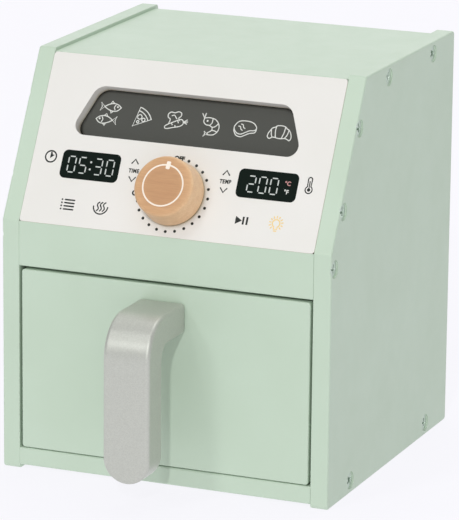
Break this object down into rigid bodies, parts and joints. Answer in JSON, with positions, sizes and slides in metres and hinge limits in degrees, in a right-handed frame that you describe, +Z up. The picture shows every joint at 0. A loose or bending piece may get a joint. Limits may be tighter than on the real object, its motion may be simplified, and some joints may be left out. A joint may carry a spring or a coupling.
{
  "type": "toy air fryer",
  "caption": "Wooden pretend-play air fryer with a sloping control panel, a turning dial and a pull-out drawer with a hook-shaped handle.",
  "frame": {"origin": "on the table, under the middle of the toy's overall length and width, drawer closed", "axes": "+X to the toy's right as seen from its front, +Y from the drawer front to the back, +Z up"},
  "size_m": [0.172, 0.21, 0.204],
  "materials": {
    "mint_paint": "satin mint-green paint on fibreboard",
    "white_paint": "satin warm-white paint on fibreboard",
    "dark_display": "glossy dark grey sheet",
    "silver_paint": "satin silver-grey paint on wood",
    "natural_wood": "clear matt lacquer on light hardwood",
    "screw_steel": "zinc plated",
    "insert_brass": "turned",
    "white_nylon": "natural",
    "black_print": "screen print",
    "white_print": "screen print",
    "yellow_print": "screen print"
  },
  "bodies": {
    "casing": {"left_side_panel": "mint_paint", "right_side_panel": "mint_paint", "top_board": "mint_paint", "bottom_board": "mint_paint", "back_panel": "mint_paint", "control_panel": "white_paint", "front_rail": "mint_paint", "front_rail_dowels": "natural_wood", "display_window": "dark_display", "window_screws": "screw_steel", "top_board_screws": "screw_steel", "control_panel_screws": "screw_steel", "front_rail_screws": "screw_steel", "bottom_board_screws": "screw_steel", "dial_bush": "white_nylon", "dial_front_washer": "white_nylon"},
    "drawer": {"drawer_front": "mint_paint", "drawer_left_side": "mint_paint", "drawer_right_side": "mint_paint", "drawer_back": "mint_paint", "drawer_bottom": "mint_paint", "drawer_front_dowels": "natural_wood", "drawer_back_screws": "screw_steel", "drawer_handle": "silver_paint", "handle_screws": "screw_steel"},
    "dial": {"dial_knob": "natural_wood", "dial_insert": "insert_brass", "dial_bolt": "screw_steel", "dial_rear_washer": "screw_steel"}
  },
  "joints": [
    {"name": "drawer_slide", "type": "slide", "parent": "casing", "child": "drawer", "axis": [0, -1, 0], "range_m": [0, 0.17]},
    {"name": "dial_turn", "type": "hinge", "parent": "casing", "child": "dial", "pos_m": [0.00035, -0.05171, 0.14488], "axis": [0, -0.8781, 0.4785], "continuous": true}
  ]
}
